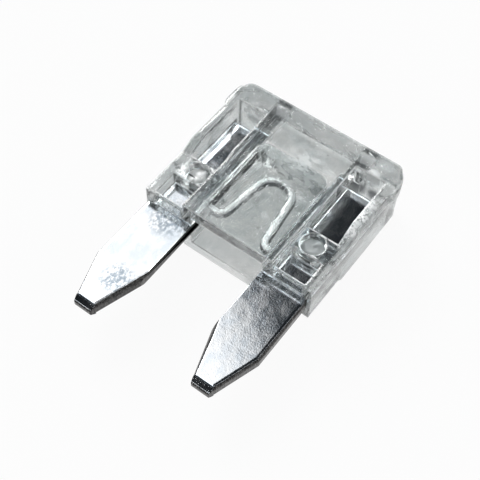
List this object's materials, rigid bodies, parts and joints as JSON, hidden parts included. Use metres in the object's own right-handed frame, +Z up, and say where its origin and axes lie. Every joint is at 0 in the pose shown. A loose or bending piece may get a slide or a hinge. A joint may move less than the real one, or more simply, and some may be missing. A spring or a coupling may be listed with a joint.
{
  "type": "automotive blade fuse",
  "caption": "Miniature automotive blade fuse: flat clear housing with windows over two tapered zinc blades that an S-shaped link joins.",
  "frame": {"origin": "under the middle of the whole fuse, on the back face that it lies on", "axes": "+X across the two blades, +Y from the blade tips to the head, +Z up from the back face to the front face"},
  "size_m": [0.0106, 0.0156, 0.0035],
  "materials": {
    "clear_plastic": "clear moulded",
    "zinc": "bright rolled, sheared edges dark"
  },
  "bodies": {
    "root": {"housing": "clear_plastic", "fuse_element": "zinc"}
  },
  "joints": []
}
